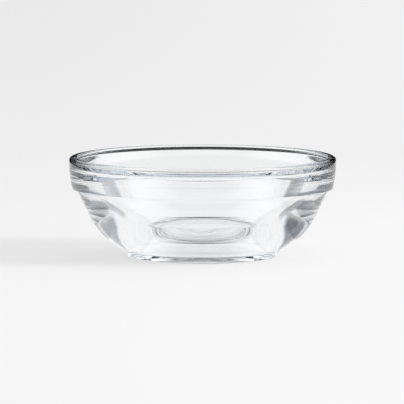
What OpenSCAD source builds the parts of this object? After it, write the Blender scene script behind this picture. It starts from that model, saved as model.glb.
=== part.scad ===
// Stackable prep bowl, pressed in one piece from clear glass.
// A rim with a small bead inside, a tall stacking band with a ledge under it, a thick wall that
// flares from a soft bend, and a base that stands on a narrow ring round a shallow recess.
// Millimetres, +Z up, with the origin at the centre of the ring that the bowl stands on.

/* [Overall] */
// Diameter across the rim
bowl_d = 120; // [100:1:150]
// Height from the table to the top of the rim
bowl_h = 45; // [40:1:60]

/* [Rim] */
// Thickness of the glass at the rim
rim_t = 3.7; // [3:0.1:5]
// Rounding of the rim's outer edge
rim_outer_round = 1.5; // [0.8:0.1:2.2]
// Rounding of the rim's inner edge
rim_inner_round = 0.95; // [0.6:0.05:1.6]
// How far down the bead inside the rim reaches
bead_drop = 1.25; // [1:0.05:2]
// Rounding of the bead's lower edge
bead_round = 0.35; // [0.1:0.05:0.8]
// How far the cove under the bead is cut back into the wall
cove_depth = 0.6; // [0.1:0.05:0.8]
// Height of the stretch that runs back from the bead into the cove
cove_h = 0.7; // [0.3:0.05:1]
// Rounding of the cove
cove_round = 0.8; // [0.2:0.05:1.5]

/* [Stacking band] */
// Height of the band, from its ledge to the top of the rim
band_h = 14.4; // [10:0.2:18]
// How much the band narrows towards its lower edge, on each side
band_taper = 1.4; // [0.4:0.1:2.4]
// Height of the stretch that narrows, above the ledge
band_taper_h = 6.2; // [4:0.2:8]
// Radius of the soft bend where the band starts to narrow
band_round = 45; // [10:1:50]
// Rounding of the band's lower edge
band_edge_round = 0.7; // [0.3:0.1:1.2]
// Rounding where the ledge meets the wall under it
ledge_round = 0.6; // [0.2:0.1:1]
// Radial clearance between the wall under the ledge and the rim of the bowl that it stands in
stack_clearance = 0.2; // [0.1:0.05:1]

/* [Wall] */
// How far the upper wall runs inwards, from under the ledge to the bend
wall_run = 9.2; // [7:0.1:11]
// Height of the bend, where the upper and the lower wall would meet if it were sharp
bend_h = 9.8; // [8:0.1:12]
// Radius of the bend
bend_round = 30; // [10:0.5:34]
// How far the lower wall runs inwards, from the bend to the top of the foot
base_run = 11.7; // [8:0.1:16]

/* [Foot] */
// Height of the foot
foot_h = 3; // [2:0.1:4.5]
// How much the foot widens from the table to its top, on each side
foot_flare = 1.8; // [0.4:0.1:2.4]
// Rounding of the foot's lower edge
foot_edge_round = 0.8; // [0.3:0.1:1.4]
// Rounding where the foot meets the wall
foot_top_round = 1.5; // [0.5:0.1:4]
// Width of the ring that the bowl stands on
land_w = 3; // [2:0.1:5]
// Depth of the recess inside that ring
recess_depth = 0.5; // [0.3:0.1:1.5]
// How far the recess's side slopes inwards
recess_run = 1.5; // [0.5:0.1:3]
// Rounding inside the recess
recess_round = 6; // [0.4:0.2:8]
// Rounding of the ring's inner edge
land_round = 1; // [0.2:0.1:1.5]

/* [Inside] */
// How far the inside wall has run inwards at its shoulder, counted from the rim's inner edge
shoulder_run = 2.3; // [1.4:0.1:3]
// How far the shoulder lies below the top of the rim
shoulder_drop = 4.8; // [4:0.1:7]
// Radius of the shoulder
shoulder_round = 15; // [4:1:20]
// How far the inside wall runs inwards from the shoulder to its waist
waist_run = 3.9; // [2.8:0.1:5.4]
// How far the waist lies below the top of the rim
waist_drop = 15; // [13:0.2:18]
// Radius of the soft bend at the waist
waist_round = 120; // [20:5:140]
// How far the inside wall runs inwards from the waist to the knee over the floor
knee_run = 13.4; // [12:0.1:15]
// Height of the knee
knee_h = 11.4; // [10:0.2:14]
// Radius of the bend at the knee
knee_round = 59; // [20:1:70]
// How far the inside wall runs inwards from the knee to the edge of the floor
floor_run = 8.5; // [7:0.1:11]
// Rounding at the edge of the floor, where a faint ring shows
floor_edge_round = 2; // [0.5:0.1:4]
// Thickness of the floor, from the recess up
floor_t = 4.7; // [3:0.1:6]

/* [Hidden] */
glass_colour = [0.78, 0.86, 0.86, 0.45];
// How far a facet may lie inside the true arc
chord_error = 0.01;
$fn = 180;

rim_r = bowl_d / 2;
rim_in_r = rim_r - rim_t;
band_low_r = rim_r - band_taper;
ledge_z = bowl_h - band_h;

// The wall passes inside another bowl's rim, where the bead of that rim ends
nest_r = rim_in_r - stack_clearance;
nest_z = ledge_z - bead_drop;
bend_r = nest_r - wall_run;
neck_r = bend_r + wall_run * (ledge_z - bend_h) / (nest_z - bend_h);

foot_top_r = bend_r - base_run;
foot_r = foot_top_r - foot_flare;
land_in_r = foot_r - land_w;

bead_z = bowl_h - bead_drop;
shoulder_r = rim_in_r - shoulder_run;
waist_r = shoulder_r - waist_run;
knee_r = waist_r - knee_run;
floor_r = knee_r - floor_run;
floor_z = recess_depth + floor_t;

// Corners of the section, from the middle of the recess round the outside to the middle of the
// floor, each as [radius, height, rounding]
corners = [
    [0, recess_depth, 0],
    [land_in_r - recess_run, recess_depth, recess_round],
    [land_in_r, 0, land_round],
    [foot_r, 0, foot_edge_round],
    [foot_top_r, foot_h, foot_top_round],
    [bend_r, bend_h, bend_round],
    [neck_r, ledge_z, ledge_round],
    [band_low_r, ledge_z, band_edge_round],
    [rim_r, ledge_z + band_taper_h, band_round],
    [rim_r, bowl_h, rim_outer_round],
    [rim_in_r, bowl_h, rim_inner_round],
    [rim_in_r, bead_z, bead_round],
    [rim_in_r + cove_depth, bead_z - cove_h, cove_round],
    [shoulder_r, bowl_h - shoulder_drop, shoulder_round],
    [waist_r, bowl_h - waist_drop, waist_round],
    [knee_r, knee_h, knee_round],
    [floor_r, floor_z, floor_edge_round],
    [0, floor_z, 0]
];

function place(corner) = [corner[0], corner[1]];
function unit(v) = v / norm(v);
function last(list) = len(list) - 1;
function is_end(c, i) = i == 0 || i == last(c);

// Unit vectors from corner i back along the outline and on along it
function back_way(c, i) = unit(place(c[i - 1]) - place(c[i]));
function on_way(c, i) = unit(place(c[i + 1]) - place(c[i]));

// Half of the angle between a corner's two sides
function half_angle(c, i) = acos(back_way(c, i) * on_way(c, i)) / 2;

// How much of each side a corner's rounding takes up
function reach(c, i) = is_end(c, i) ? 0 : c[i][2] / tan(half_angle(c, i));

// The share of their roundings that the two corners of side i have room for
function room(c, i) =
    let (wanted = reach(c, i) + reach(c, i + 1), side = norm(place(c[i + 1]) - place(c[i])))
    wanted > side ? side / wanted : 1;

// Points of the arc that rounds corner i, its radius limited by the sides that it joins
function arc(c, i) =
    let (
        r = c[i][2] * min(room(c, i - 1), room(c, i)),
        half = half_angle(c, i),
        bisector = unit(back_way(c, i) + on_way(c, i)),
        centre = place(c[i]) + bisector * r / sin(half),
        to_corner = atan2(-bisector[1], -bisector[0]),
        turn = cross(on_way(c, i), back_way(c, i)) > 0 ? 1 : -1,
        sweep = 90 - half,
        steps = ceil(sweep / acos(1 - chord_error / r))
    )
    [
        for (k = [0 : steps])
            let (a = to_corner + turn * sweep * (2 * k / steps - 1))
            centre + r * [cos(a), sin(a)]
    ];

function rounded(c) = [
    for (i = [0 : last(c)])
        each is_end(c, i) || c[i][2] == 0 ? [place(c[i])] : arc(c, i)
];

module bowl() {
    color(glass_colour)
        rotate_extrude()
            polygon(rounded(corners));
}

bowl();
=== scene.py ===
"""Looks for the prep bowl: clear pressed glass in a pale studio.

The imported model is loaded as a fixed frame. The solid bowl is stood for by a finer surface of
revolution with the same section, so that light bends through it as it does through real glass.
"""

import math

import bpy
import numpy as np
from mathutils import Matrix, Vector


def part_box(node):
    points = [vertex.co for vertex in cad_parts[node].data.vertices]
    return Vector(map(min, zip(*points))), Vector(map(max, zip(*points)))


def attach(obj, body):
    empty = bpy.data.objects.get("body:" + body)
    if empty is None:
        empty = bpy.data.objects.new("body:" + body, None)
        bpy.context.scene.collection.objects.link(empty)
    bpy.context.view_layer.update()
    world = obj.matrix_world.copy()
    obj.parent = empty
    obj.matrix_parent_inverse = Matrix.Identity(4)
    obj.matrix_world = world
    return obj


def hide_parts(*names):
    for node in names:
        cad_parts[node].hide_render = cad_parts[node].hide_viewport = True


bl_info = {
    "name": "Pressed glass prep bowl",
    "version": (1, 0, 0),
    "blender": (4, 5, 0),
    "location": "View3D > Sidebar > Prep Bowl",
    "description": "Builds a stackable prep bowl of clear pressed glass and its studio",
    "category": "Object",
}

NODE = "bowl"

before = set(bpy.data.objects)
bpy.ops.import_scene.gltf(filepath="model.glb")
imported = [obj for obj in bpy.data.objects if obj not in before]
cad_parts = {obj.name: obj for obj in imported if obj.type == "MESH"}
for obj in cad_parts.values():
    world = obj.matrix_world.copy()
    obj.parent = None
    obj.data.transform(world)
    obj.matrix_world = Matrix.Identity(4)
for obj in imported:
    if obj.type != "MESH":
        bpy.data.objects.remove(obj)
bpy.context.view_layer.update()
BOWL_LOW, BOWL_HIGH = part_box(NODE)
MM = 0.001


def length(name, description, millimetres):
    """A length setting, given in millimetres and kept in metres."""
    return bpy.props.FloatProperty(
        name=name, description=description, default=millimetres * MM,
        min=0.0, unit="LENGTH", precision=5,
    )


def colour(name, description, default):
    """A colour setting without alpha, in linear values."""
    return bpy.props.FloatVectorProperty(
        name=name, description=description, default=default,
        size=3, min=0.0, max=1.0, subtype="COLOR",
    )


def spot(name, description, x, y):
    """Two lengths across and along the table, given in millimetres and kept in metres."""
    return bpy.props.FloatVectorProperty(
        name=name, description=description, default=(x * MM, y * MM),
        size=2, unit="LENGTH", precision=4,
    )


def number(name, description, default):
    """A plain number that can't be negative."""
    return bpy.props.FloatProperty(
        name=name, description=description, default=default, min=0.0, precision=4,
    )


class BowlSizes(bpy.types.PropertyGroup):
    """The bowl's section, with the same driving sizes as the solid model."""

    diameter: length("Diameter", "Across the rim", (BOWL_HIGH.x - BOWL_LOW.x) / MM)
    height: length("Height", "From the table to the top of the rim", BOWL_HIGH.z / MM)

    rim_t: length("Rim thickness", "Glass at the rim", 3.7)
    rim_outer_round: length("Rim outer rounding", "Rounding of the rim's outer edge", 1.5)
    rim_inner_round: length("Rim inner rounding", "Rounding of the rim's inner edge", 0.95)
    bead_drop: length("Bead drop", "How far down the bead inside the rim reaches", 1.25)
    bead_round: length("Bead rounding", "Rounding of the bead's lower edge", 0.35)
    cove_depth: length("Cove depth", "How far the cove is cut back into the wall", 0.6)
    cove_h: length("Cove height", "Stretch from the bead back into the cove", 0.7)
    cove_round: length("Cove rounding", "Rounding of the cove", 0.8)

    band_h: length("Band height", "From the ledge to the top of the rim", 14.4)
    band_taper: length("Band taper", "How much the band narrows on each side", 1.4)
    band_taper_h: length("Band taper height", "Height of the stretch that narrows", 6.2)
    band_round: length("Band bend", "Radius where the band starts to narrow", 45)
    band_edge_round: length("Band edge", "Rounding of the band's lower edge", 0.7)
    ledge_round: length("Ledge rounding", "Rounding where the ledge meets the wall", 0.6)
    stack_clearance: length("Stacking clearance", "Gap to the rim below, in a stack", 0.2)

    wall_run: length("Wall run", "How far the upper wall runs inwards", 9.2)
    bend_h: length("Bend height", "Height of the soft bend", 9.8)
    bend_round: length("Bend radius", "Radius of the soft bend", 30)
    base_run: length("Base run", "How far the lower wall runs inwards", 11.7)

    foot_h: length("Foot height", "Height of the foot", 3)
    foot_flare: length("Foot flare", "How much the foot widens upwards on each side", 1.8)
    foot_edge_round: length("Foot edge", "Rounding of the foot's lower edge", 0.8)
    foot_top_round: length("Foot top", "Rounding where the foot meets the wall", 1.5)
    land_w: length("Standing ring", "Width of the ring that the bowl stands on", 3)
    land_round: length("Ring edge", "Rounding of the standing ring's inner edge", 1)
    recess_depth: length("Recess depth", "Depth of the recess under the base", 0.5)
    recess_run: length("Recess slope", "How far the recess's side slopes inwards", 1.5)
    recess_round: length("Recess rounding", "Rounding inside the recess", 6)

    shoulder_run: length("Shoulder run", "From the rim's inner edge to the shoulder", 2.3)
    shoulder_drop: length("Shoulder drop", "From the rim down to the shoulder", 4.8)
    shoulder_round: length("Shoulder radius", "Radius of the shoulder", 15)
    waist_run: length("Waist run", "From the shoulder inwards to the waist", 3.9)
    waist_drop: length("Waist drop", "From the rim down to the waist", 15)
    waist_round: length("Waist radius", "Radius of the soft bend at the waist", 120)
    knee_run: length("Knee run", "From the waist inwards to the knee", 13.4)
    knee_h: length("Knee height", "Height of the knee over the table", 11.4)
    knee_round: length("Knee radius", "Radius of the bend at the knee", 59)
    floor_run: length("Floor run", "From the knee inwards to the floor's edge", 8.5)
    floor_edge_round: length("Floor edge", "Rounding at the edge of the floor", 2)
    floor_t: length("Floor thickness", "From the recess up", 4.7)


class GlassLook(bpy.types.PropertyGroup):
    """The finish of the glass."""

    tint: colour("Surface tint", "Colour of light that passes the surface", (1.0, 1.0, 1.0))
    depth_tint: colour("Depth tint", "Colour that the glass keeps over a long path",
                       (0.75, 0.8, 0.84))
    density: number("Depth density", "How fast the depth tint builds up, per metre", 12.0)
    ior: number("Index of refraction", "Soda-lime glass is about 1.52", 1.52)
    ripple: length("Ripple height", "Height of the soft waves left by pressing", 0.007)
    ripple_size: length("Ripple size", "Distance between those waves", 14)
    wear: number("Wear roughness", "Roughness of the ring that the bowl stands on", 0.32)


class StudioLook(bpy.types.PropertyGroup):
    """The pale studio that the bowl stands in."""

    table: colour("Table", "Colour of the floor", (0.89, 0.89, 0.89))
    dome: number("Dome", "Brightness of the even light from all around", 0.81)
    # Painted light: the table glows for the camera, more on the right than the left and less far
    # back, which fades the bowl's shadow most on the right
    even: number("Even light", "Brightness of the light that evens the table out", 0.95)
    even_left: number("Even left", "Share of the even light on the table's left", 0.45)
    even_right: number("Even right", "Share of the even light on the table's right", 0.95)
    even_side: length("Even side", "From the bowl's axis out to where those shares hold", 80)
    even_far: number("Even far", "Share of its brightness that is left far back", 0.925)
    even_back: length("Even back", "From the bowl's axis back to where that share holds", 600)

    # Painted light and shade on the table as the glass shows it: a glow in place of the light that
    # the glass would let through, fading a little well behind the bowl
    glow: number("Table glow", "Brightness of the table as the glass shows it", 0.95)
    far: number("Far table", "Share of the glow that the table has well behind the bowl", 0.9)
    far_start: length("Far start", "Distance behind the axis where the glow starts to fade", 130)
    far_end: length("Far end", "Distance behind the axis where only that share is left", 200)
    # Painted contact shadows: dark lines on the table behind and before the foot, which the glass
    # shows
    back_shadow: number("Back line", "Depth of the dark line behind the foot", 0.95)
    back_shadow_r: length("Back line radius", "From the bowl's axis to that line", 40)
    back_shadow_w: length("Back line width", "From the line's middle to its edge", 11)
    back_shadow_x: length("Back line length", "From the middle of the line to its end", 28)
    front_shadow: number("Front line", "Depth of the dark line before the foot", 0.85)
    front_shadow_r: length("Front line radius", "From the bowl's axis to that line", 35.5)
    front_shadow_w: length("Front line width", "From the line's middle to its edge", 4.5)
    front_shadow_x: length("Front line length", "From the middle of the line to its end", 34)
    shadow_start: length("Line start", "From the bowl's axis to where a line is at full depth", 15)
    # Painted shades under the bowl's two flanks, and the tint they turn to
    left_shade: number("Left shade", "Depth of the shade under the bowl's left flank", 0.54)
    left_place: spot("Left place", "Middle of that shade", -59, 18)
    left_half: spot("Left half size", "From its middle to its edge", 12.5, 34)
    right_shade: number("Right shade", "Depth of the shade under the bowl's right flank", 0.77)
    right_place: spot("Right place", "Middle of that shade", 59.3, 12)
    right_half: spot("Right half size", "From its middle to its edge", 13.5, 42)
    shade_core: number("Shade core", "Share of a shade's size that is as dark as its middle", 0.75)
    shade_tint: colour("Shade tint", "Colour that those two shades turn to", (0.8, 0.9, 1.0))

    table_size: length("Table size", "Side of the floor", 20000)

    lamp_power: bpy.props.FloatProperty(
        name="Lamp power", description="Power of the side lamp", default=17.0, min=0.0,
        subtype="POWER",
    )
    lamp_place: bpy.props.FloatVectorProperty(
        name="Lamp place", description="Centre of the side lamp", default=(1.6, -0.45, 0.8),
        size=3, subtype="TRANSLATION", unit="LENGTH",
    )
    lamp_w: length("Lamp width", "Width of the side lamp", 700)
    lamp_h: length("Lamp height", "Height of the side lamp", 600)

    strip_r: length("Strip radius", "From the bowl's axis to the dark strip round it", 70)
    strip_low: length("Strip bottom", "Height of the dark strip's lower edge", 40.3)
    strip_high: length("Strip top", "Height of the dark strip's upper edge", 47)
    strip_side: length("Strip side", "Height of that edge at the bowl's two flanks", 56.5)

    camera_rise: bpy.props.FloatProperty(
        name="Camera rise", description="How far the camera looks down",
        default=math.radians(5.55), subtype="ANGLE",
    )
    camera_distance: length("Camera distance", "From the aim point to the camera", 6000)
    camera_aim: length("Aim height", "Height of the point in the middle of the picture", 24.5)
    camera_side: length("Aim offset", "How far left of the bowl's axis the camera aims", 0.27)
    half_view: length("Half view", "Half of the width that the picture takes in", 90.85)


def bowl_corners(s):
    """Corners of the section as rows of [radius, height, rounding], in metres.

    They run from the middle of the recess round the outside to the middle of the floor.
    """
    rim_r = s.diameter / 2
    rim_in_r = rim_r - s.rim_t
    ledge_z = s.height - s.band_h
    bead_z = s.height - s.bead_drop

    # The wall passes inside another bowl's rim, where the bead of that rim ends
    nest_r = rim_in_r - s.stack_clearance
    nest_z = ledge_z - s.bead_drop
    bend_r = nest_r - s.wall_run
    neck_r = bend_r + s.wall_run * (ledge_z - s.bend_h) / (nest_z - s.bend_h)

    foot_top_r = bend_r - s.base_run
    foot_r = foot_top_r - s.foot_flare
    land_in_r = foot_r - s.land_w

    shoulder_r = rim_in_r - s.shoulder_run
    waist_r = shoulder_r - s.waist_run
    knee_r = waist_r - s.knee_run
    floor_r = knee_r - s.floor_run
    floor_z = s.recess_depth + s.floor_t

    return np.array([
        [0, s.recess_depth, 0],
        [land_in_r - s.recess_run, s.recess_depth, s.recess_round],
        [land_in_r, 0, s.land_round],
        [foot_r, 0, s.foot_edge_round],
        [foot_top_r, s.foot_h, s.foot_top_round],
        [bend_r, s.bend_h, s.bend_round],
        [neck_r, ledge_z, s.ledge_round],
        [rim_r - s.band_taper, ledge_z, s.band_edge_round],
        [rim_r, ledge_z + s.band_taper_h, s.band_round],
        [rim_r, s.height, s.rim_outer_round],
        [rim_in_r, s.height, s.rim_inner_round],
        [rim_in_r, bead_z, s.bead_round],
        [rim_in_r + s.cove_depth, bead_z - s.cove_h, s.cove_round],
        [shoulder_r, s.height - s.shoulder_drop, s.shoulder_round],
        [waist_r, s.height - s.waist_drop, s.waist_round],
        [knee_r, s.knee_h, s.knee_round],
        [floor_r, floor_z, s.floor_edge_round],
        [0, floor_z, 0],
    ])


def unit(vectors):
    """Rows of vectors, each divided by its own length."""
    return vectors / np.linalg.norm(vectors, axis=-1, keepdims=True)


def rounded_line(corners, steps):
    """Points and outward normals along a line of corners, each corner but the ends an arc.

    An arc touches both sides of its corner. Its centre lies on the corner's bisector, at the
    radius over the sine of half the corner's angle, and it sweeps 180 degrees less that angle.
    Where two arcs want more of a side than there is, both shrink by the same share.
    """
    place, radius = corners[:, :2], corners[:, 2]
    side = np.diff(place, axis=0)
    side_length = np.linalg.norm(side, axis=1)
    back, on = -unit(side[:-1]), unit(side[1:])
    half = np.arccos(np.sum(back * on, axis=1)) / 2

    reach = np.zeros(len(corners))
    reach[1:-1] = radius[1:-1] / np.tan(half)
    wanted = reach[:-1] + reach[1:]
    room = np.where(wanted > side_length, side_length / np.maximum(wanted, side_length), 1)
    arc_radius = radius[1:-1] * np.minimum(room[:-1], room[1:])

    bisector = unit(back + on)
    centre = place[1:-1] + bisector * (arc_radius / np.sin(half))[:, None]
    to_corner = np.arctan2(-bisector[:, 1], -bisector[:, 0])
    turn = np.sign(on[:, 0] * back[:, 1] - on[:, 1] * back[:, 0])
    angle = to_corner[:, None] + (turn * (math.pi / 2 - half))[:, None] * np.linspace(-1, 1, steps)
    ray = np.stack([np.cos(angle), np.sin(angle)], axis=-1)

    points = (centre[:, None] + arc_radius[:, None, None] * ray).reshape(-1, 2)
    normals = (turn[:, None, None] * ray).reshape(-1, 2)
    return points, normals


def revolved_mesh(name, points, normals, bottom_z, top_z, around):
    """A closed mesh of revolution about the vertical axis.

    Each point [r, z] of the line becomes a ring (r cos a, r sin a, z) with a in equal steps, and
    each normal is turned with it. The line's two ends close on the axis with fans of triangles.
    """
    a = np.arange(around) * (2 * math.pi / around)
    cos, sin = np.cos(a), np.sin(a)

    def ring(rows):
        r, z = rows[:, :1], rows[:, 1:]
        grid = np.stack(np.broadcast_arrays(r * cos, r * sin, z), axis=-1)
        return grid.reshape(-1, 3)

    poles = np.array([[0, 0, bottom_z], [0, 0, top_z]])
    vertices = np.vstack([ring(points), poles])
    vertex_normals = np.vstack([ring(normals), [[0, 0, -1], [0, 0, 1]]])

    index = np.arange(len(points) * around).reshape(len(points), around)
    after = np.roll(index, -1, axis=1)
    quads = np.stack([index[:-1], after[:-1], after[1:], index[1:]], axis=-1).reshape(-1, 4)
    bottom, top = len(points) * around, len(points) * around + 1
    low_fan = np.stack([np.full(around, bottom), after[0], index[0]], axis=-1)
    high_fan = np.stack([np.full(around, top), index[-1], after[-1]], axis=-1)

    mesh = bpy.data.meshes.new(name)
    mesh.from_pydata(vertices, [], quads.tolist() + low_fan.tolist() + high_fan.tolist())
    mesh.polygons.foreach_set("use_smooth", np.ones(len(mesh.polygons), dtype=bool))
    if mesh.validate():
        raise RuntimeError(f"{name}: the mesh had faults")
    mesh.normals_split_custom_set_from_vertices(vertex_normals)
    mesh.update()
    return mesh


def node(tree, kind, settings=None, **inputs):
    """A new node with its settings, and its inputs set to values or linked to sockets."""
    new = tree.nodes.new(kind)
    for key, value in (settings or {}).items():
        setattr(new, key, value)
    for key, value in inputs.items():
        socket = new.inputs[int(key[1:])] if key[0] == "i" and key[1:].isdigit() \
            else new.inputs[key.replace("_", " ")]
        if isinstance(value, bpy.types.NodeSocket):
            tree.links.new(value, socket)
        else:
            socket.default_value = value
    return new


def calc(tree, operation, *values):
    """The result of one operation on plain numbers."""
    inputs = {f"i{k}": value for k, value in enumerate(values)}
    return node(tree, "ShaderNodeMath", {"operation": operation}, **inputs).outputs[0]


def vector_calc(tree, operation, *values):
    """The result of one operation on vectors: a number for a length, otherwise a vector."""
    inputs = {f"i{k}": value for k, value in enumerate(values)}
    outputs = node(tree, "ShaderNodeVectorMath", {"operation": operation}, **inputs).outputs
    return outputs["Value" if operation == "LENGTH" else "Vector"]


def smooth_step(tree, value, start, end, at_start=0.0, at_end=1.0):
    """at_start where value is at start, going smoothly to at_end where value is at end."""
    return node(tree, "ShaderNodeMapRange", {"interpolation_type": "SMOOTHSTEP"}, Value=value,
                From_Min=start, From_Max=end, To_Min=at_start, To_Max=at_end).outputs["Result"]


def mix(tree, factor, first, second):
    """The colour first, giving way to the colour second as factor rises."""
    return node(tree, "ShaderNodeMix", {"data_type": "RGBA"},
                i0=factor, i6=first, i7=second).outputs[2]


def pressed_glass(look, sizes):
    """Clear glass with soft pressing ripples, a worn standing ring and a faint depth tint."""
    material = bpy.data.materials.new("clear_pressed_glass")
    material.use_nodes = True
    tree = material.node_tree
    shader = tree.nodes["Principled BSDF"]
    shader.inputs["Base Color"].default_value = (*look.tint, 1)
    shader.inputs["Transmission Weight"].default_value = 1
    shader.inputs["IOR"].default_value = look.ior
    tree.links.new(glass_ripples(tree, look), shader.inputs["Normal"])
    tree.links.new(ring_wear(tree, look, sizes), shader.inputs["Roughness"])
    depth = node(tree, "ShaderNodeVolumeAbsorption",
                 Color=(*look.depth_tint, 1), Density=look.density)
    tree.links.new(depth.outputs["Volume"], tree.nodes["Material Output"].inputs["Volume"])
    return material


def glass_ripples(tree, look):
    """Soft waves, as a bump."""
    place = node(tree, "ShaderNodeTexCoord").outputs["Object"]
    waves = node(tree, "ShaderNodeTexNoise", Vector=place, Scale=1 / look.ripple_size,
                 Detail=1.0, Roughness=0.3)
    return node(tree, "ShaderNodeBump", Strength=1.0, Distance=look.ripple,
                Height=waves.outputs["Fac"]).outputs["Normal"]


# Wear reaches up from the table by this share of the foot's edge rounding
WORN_SHARE = 0.25
# How many rubbed spots lie along a metre
SCUFFS_PER_METRE = 900.0
# Share of the full wear that the least rubbed spots have
LEAST_WEAR = 0.4


def ring_wear(tree, look, sizes):
    """Roughness that is nothing on the glass and rises on the ring that rubs on tables."""
    place = node(tree, "ShaderNodeTexCoord").outputs["Object"]
    height = node(tree, "ShaderNodeSeparateXYZ", Vector=place).outputs["Z"]
    worn = smooth_step(tree, height, 0.0, sizes.foot_edge_round * WORN_SHARE, look.wear, 0.0)
    scuffs = node(tree, "ShaderNodeTexNoise", Vector=place, Scale=SCUFFS_PER_METRE, Detail=3.0)
    patchy = node(tree, "ShaderNodeMapRange", Value=scuffs.outputs["Fac"],
                  From_Min=0.35, From_Max=0.65, To_Min=LEAST_WEAR, To_Max=1.0).outputs["Result"]
    return calc(tree, "MULTIPLY", worn, patchy)


class BOWL_OT_glass_bowl(bpy.types.Operator):
    """Build the glass bowl over its solid and give it its finish."""

    bl_idname = "prepbowl.glass_bowl"
    bl_label = "Glass Bowl"

    arc_steps: bpy.props.IntProperty(
        name="Arc steps", description="Points on each rounding", default=12, min=3)
    around: bpy.props.IntProperty(
        name="Steps around", description="Points on each ring", default=360, min=24)

    def execute(self, context):
        sizes = context.scene.prepbowl_sizes
        corners = bowl_corners(sizes)
        points, normals = rounded_line(corners, self.arc_steps)
        mesh = revolved_mesh("glass_bowl", points, normals, corners[0, 1], corners[-1, 1],
                             self.around)
        bowl = bpy.data.objects.new("glass_bowl", mesh)
        context.scene.collection.objects.link(bowl)
        mesh.materials.append(pressed_glass(context.scene.prepbowl_glass, sizes))
        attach(bowl, "root")
        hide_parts(NODE)
        return {"FINISHED"}


def sheet(name, corners, faces, material):
    """A thin piece of the studio."""
    mesh = bpy.data.meshes.new(name)
    mesh.from_pydata(corners, [], faces)
    mesh.materials.append(material)
    return bpy.data.objects.new(name, mesh)


def seen_through_glass(tree):
    """1 where the camera looks through or off the glass, 0 for all other rays."""
    path = node(tree, "ShaderNodeLightPath").outputs
    by_glass = calc(tree, "MAXIMUM", path["Is Transmission Ray"], path["Is Glossy Ray"])
    direct = calc(tree, "LESS_THAN", path["Diffuse Depth"], 0.5)
    return calc(tree, "MULTIPLY", by_glass, direct)


def shade(tree, place, middle, half, core, depth):
    """A painted shade: 1 away from an oval patch round middle, and less by depth in its core, with
    a soft edge.
    """
    off = vector_calc(tree, "SUBTRACT", place, (middle[0], middle[1], 0))
    off = vector_calc(tree, "MULTIPLY", off, (1 / half[0], 1 / half[1], 0))
    return smooth_step(tree, vector_calc(tree, "LENGTH", off), core, 1.0, 1 - depth, 1.0)


def table_in_glass(tree, look):
    """Brightness and colour of the table as the glass shows it.

    All of it is painted light and shade: the table glows in place of the light the glass would let
    through, less so well behind the bowl, a painted contact shadow lies behind the foot and
    another before it, and a painted shade, tinted blue, lies under each flank.
    """
    place = node(tree, "ShaderNodeTexCoord").outputs["Object"]
    split = node(tree, "ShaderNodeSeparateXYZ", Vector=place).outputs
    from_axis = vector_calc(tree, "LENGTH", place)
    from_middle = calc(tree, "ABSOLUTE", split["X"])

    def line(radius, half_width, half_length, depth, way):
        """Painted contact shadow: 1 away from a piece of a ring behind the axis, or before it
        where way is -1.
        """
        off = calc(tree, "ABSOLUTE", calc(tree, "SUBTRACT", from_axis, radius))
        across = smooth_step(tree, off, 0.0, half_width, 1.0, 0.0)
        along = smooth_step(tree, from_middle, 0.0, half_length, depth, 0.0)
        side = smooth_step(tree, calc(tree, "MULTIPLY", split["Y"], way), 0.0, look.shadow_start)
        dark = calc(tree, "MULTIPLY", calc(tree, "MULTIPLY", across, along), side)
        return calc(tree, "SUBTRACT", 1.0, dark)

    # Painted contact shadows behind and before the foot
    contact_shadows = calc(
        tree, "MULTIPLY",
        line(look.back_shadow_r, look.back_shadow_w, look.back_shadow_x, look.back_shadow, 1.0),
        line(look.front_shadow_r, look.front_shadow_w, look.front_shadow_x, look.front_shadow, -1.0))
    # Painted shades under the two flanks
    shades = calc(
        tree, "MULTIPLY",
        shade(tree, place, look.left_place, look.left_half, look.shade_core, look.left_shade),
        shade(tree, place, look.right_place, look.right_half, look.shade_core, look.right_shade))
    # Painted light: the table glows in place of the light the glass would let through, and fades a
    # little well behind the bowl
    glow = smooth_step(tree, split["Y"], look.far_start, look.far_end,
                       look.glow, look.glow * look.far)
    brightness = calc(tree, "MULTIPLY", calc(tree, "MULTIPLY", contact_shadows, shades), glow)
    return brightness, mix(tree, shades, (*look.shade_tint, 1), (1, 1, 1, 1))


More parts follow.
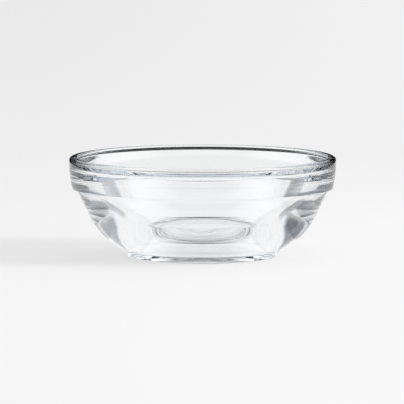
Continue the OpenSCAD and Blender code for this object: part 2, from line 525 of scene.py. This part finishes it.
def studio_floor(look):
    """A flat square with its middle under the bowl.

    The camera sees its matt face mixed with a painted glow, stronger on the right than on the left
    and weaker far back, which fades the bowl's shadow most on the right. The glass sees
    table_in_glass, and all other rays meet the matt face alone.
    """
    half = look.table_size / 2
    material = bpy.data.materials.new("matt_white_table")
    material.use_nodes = True
    tree = material.node_tree
    matt = tree.nodes["Principled BSDF"]
    matt.inputs["Roughness"].default_value = 0.9
    matt.inputs["Specular IOR Level"].default_value = 0.0
    matt.inputs["Base Color"].default_value = (*look.table, 1)

    place = node(tree, "ShaderNodeTexCoord").outputs["Object"]
    split = node(tree, "ShaderNodeSeparateXYZ", Vector=place).outputs
    # Painted light: more glow on the right than on the left, and less far back, fading the bowl's
    # shadow most on the right
    camera_glow_share = node(tree, "ShaderNodeMapRange", Value=split["X"],
                      From_Min=-look.even_side, From_Max=look.even_side,
                      To_Min=look.even_left, To_Max=look.even_right).outputs["Result"]
    even = smooth_step(tree, split["Y"], 0.0, look.even_back,
                       look.even, look.even * look.even_far)
    by_camera = node(tree, "ShaderNodeLightPath").outputs["Is Camera Ray"]
    in_glass = seen_through_glass(tree)
    brightness, tint = table_in_glass(tree, look)

    light_share = node(tree, "ShaderNodeMix", i0=in_glass,
                       i2=calc(tree, "MULTIPLY", camera_glow_share, by_camera), i3=1.0).outputs[0]
    strength = node(tree, "ShaderNodeMix", i0=in_glass, i2=even, i3=brightness).outputs[0]
    light = node(tree, "ShaderNodeEmission", Strength=strength,
                 Color=mix(tree, in_glass, (1, 1, 1, 1), tint))
    both = node(tree, "ShaderNodeMixShader", i0=light_share,
                i1=matt.outputs["BSDF"], i2=light.outputs["Emission"])
    tree.links.new(both.outputs["Shader"], tree.nodes["Material Output"].inputs["Surface"])
    corners = [(-half, -half, 0), (half, -half, 0), (half, half, 0), (-half, half, 0)]
    return sheet("table", corners, [(0, 1, 2, 3)], material)


# The strip's upper edge rises between these two values of the sine of the angle round the bowl,
# sign left out, which is 0 straight behind or before it and 1 at the flanks
STRIP_RISE = (0.67, 0.83)


def dark_strip(look):
    """A black strip round the bowl, level with its rim, which only the glass shows.

    It draws a dark line along the rim. At the flanks it stands higher, for the rim's two ends.
    """
    material = bpy.data.materials.new("matt_black")
    material.use_nodes = True
    black = material.node_tree.nodes["Principled BSDF"]
    black.inputs["Base Color"].default_value = (0, 0, 0, 1)
    black.inputs["Specular IOR Level"].default_value = 0.0

    steps = 180
    way = np.arange(steps) * (2 * math.pi / steps)
    x, y = look.strip_r * np.sin(way), look.strip_r * np.cos(way)
    top = np.interp(np.abs(np.sin(way)), STRIP_RISE, (look.strip_high, look.strip_side))
    low_row = np.stack([x, y, np.full_like(x, look.strip_low)], axis=-1)
    high_row = np.stack([x, y, top], axis=-1)
    faces = [(i, (i + 1) % steps, (i + 1) % steps + steps, i + steps) for i in range(steps)]
    strip = sheet("dark_strip", np.vstack([low_row, high_row]), faces, material)
    strip.visible_camera = strip.visible_diffuse = strip.visible_shadow = False
    return strip


def by_height(tree, height, stops):
    """A grey ramp through rows of (degrees above the horizon, brightness)."""
    new = node(tree, "ShaderNodeValToRGB", Fac=height)
    elements = new.color_ramp.elements
    for _ in stops[2:]:
        elements.new(1.0)
    for element, (degrees, grey) in zip(elements, stops):
        element.position = math.sin(math.radians(degrees))
        element.color = (grey, grey, grey, 1)
    return new.outputs["Color"]


# What the glass sees of the room, as rows of (degrees above the horizon, brightness)
BACKDROP = [(0, 0.9), (10, 0.95), (18, 1.05), (34, 1.1), (62, 0.85), (67, 0.4), (71, 0.05),
            (90, 0.0)]
SIDES = [(0, 0.05), (5, 0.15), (10, 0.5), (20, 0.8), (30, 1.3), (42, 1.7), (56, 1.3), (64, 0.8),
         (71, 0.05), (90, 0.0)]
BEHIND_CAMERA = [(0, 0.0), (8, 0.1), (14, 0.4), (20, 1.0), (30, 1.3), (44, 1.0), (52, 0.3),
                 (58, 0.05), (90, 0.0)]
# Where the backdrop and the part behind the camera take over from the sides: from the first to
# the second value of the Y share of the level way there, which is 1 straight behind the bowl
BACKDROP_AHEAD = (0.866, 0.978)
BEHIND_CAMERA_AHEAD = (0.05, -0.5)


def studio_world(look):
    """An even dome for the light, and for the glass a room with panels and dark gaps."""
    world = bpy.data.worlds.new("studio_room")
    world.use_nodes = True
    tree = world.node_tree
    way = node(tree, "ShaderNodeTexCoord").outputs["Generated"]
    height = node(tree, "ShaderNodeSeparateXYZ", Vector=way).outputs["Z"]
    level = vector_calc(tree, "NORMALIZE", vector_calc(tree, "MULTIPLY", way, (1, 1, 0)))
    ahead = node(tree, "ShaderNodeSeparateXYZ", Vector=level).outputs["Y"]
    room = mix(tree, smooth_step(tree, ahead, *BACKDROP_AHEAD),
               by_height(tree, height, SIDES), by_height(tree, height, BACKDROP))
    room = mix(tree, smooth_step(tree, ahead, *BEHIND_CAMERA_AHEAD), room,
               by_height(tree, height, BEHIND_CAMERA))
    dome = (look.dome, look.dome, look.dome, 1)
    seen = mix(tree, seen_through_glass(tree), dome, room)
    tree.links.new(seen, tree.nodes["Background"].inputs["Color"])
    return world


def aim(obj, place, target):
    """Put obj at place, with its -Z axis towards target and its top upwards."""
    obj.location = place
    obj.rotation_euler = (Vector(target) - Vector(place)).to_track_quat("-Z", "Y").to_euler()


class BOWL_OT_studio(bpy.types.Operator):
    """Set up the table, the dark strip, the dome light, the side lamp and the camera."""

    bl_idname = "prepbowl.studio"
    bl_label = "Studio"

    def execute(self, context):
        scene = context.scene
        look = scene.prepbowl_studio
        for piece in (studio_floor(look), dark_strip(look)):
            scene.collection.objects.link(piece)
        scene.world = studio_world(look)

        lamp = bpy.data.lights.new("side_lamp", "AREA")
        lamp.shape, lamp.size, lamp.size_y = "RECTANGLE", look.lamp_w, look.lamp_h
        lamp.energy = look.lamp_power
        lamp_object = bpy.data.objects.new("side_lamp", lamp)
        lamp_object.visible_glossy = lamp_object.visible_transmission = False
        scene.collection.objects.link(lamp_object)
        aim(lamp_object, look.lamp_place, (0, 0, look.camera_aim))

        camera = bpy.data.cameras.new("camera")
        camera.lens = camera.sensor_width / 2 / (look.half_view / look.camera_distance)
        camera.clip_end = look.table_size
        camera_object = bpy.data.objects.new("camera", camera)
        scene.collection.objects.link(camera_object)
        target = Vector((-look.camera_side, 0, look.camera_aim))
        back = Vector((0, -math.cos(look.camera_rise), math.sin(look.camera_rise)))
        aim(camera_object, target + back * look.camera_distance, target)
        scene.camera = camera_object

        scene.view_settings.view_transform = "Standard"
        scene.cycles.max_bounces = 24
        scene.cycles.transmission_bounces = 24
        scene.cycles.glossy_bounces = 24
        return {"FINISHED"}


class BOWL_PT_panel(bpy.types.Panel):
    """Lists the bowl's sizes, its finish, the studio and the buttons that build them."""

    bl_label = "Prep Bowl"
    bl_idname = "BOWL_PT_panel"
    bl_space_type = "VIEW_3D"
    bl_region_type = "UI"
    bl_category = "Prep Bowl"

    def draw(self, context):
        groups = (
            ("Sizes", context.scene.prepbowl_sizes, BOWL_OT_glass_bowl),
            ("Glass", context.scene.prepbowl_glass, None),
            ("Studio", context.scene.prepbowl_studio, BOWL_OT_studio),
        )
        for title, settings, operator in groups:
            box = self.layout.box()
            box.label(text=title)
            for key in settings.__annotations__:
                box.prop(settings, key)
            if operator:
                box.operator(operator.bl_idname)


CLASSES = (
    BowlSizes, GlassLook, StudioLook, BOWL_OT_glass_bowl, BOWL_OT_studio, BOWL_PT_panel,
)
SETTINGS = {
    "prepbowl_sizes": BowlSizes,
    "prepbowl_glass": GlassLook,
    "prepbowl_studio": StudioLook,
}


def register():
    for cls in CLASSES:
        bpy.utils.register_class(cls)
    for key, group in SETTINGS.items():
        setattr(bpy.types.Scene, key, bpy.props.PointerProperty(type=group))


def unregister():
    for key in SETTINGS:
        delattr(bpy.types.Scene, key)
    for cls in reversed(CLASSES):
        bpy.utils.unregister_class(cls)


def main():
    register()
    bpy.ops.prepbowl.glass_bowl()
    bpy.ops.prepbowl.studio()
    bpy.context.view_layer.update()


if __name__ == "__main__":
    main()
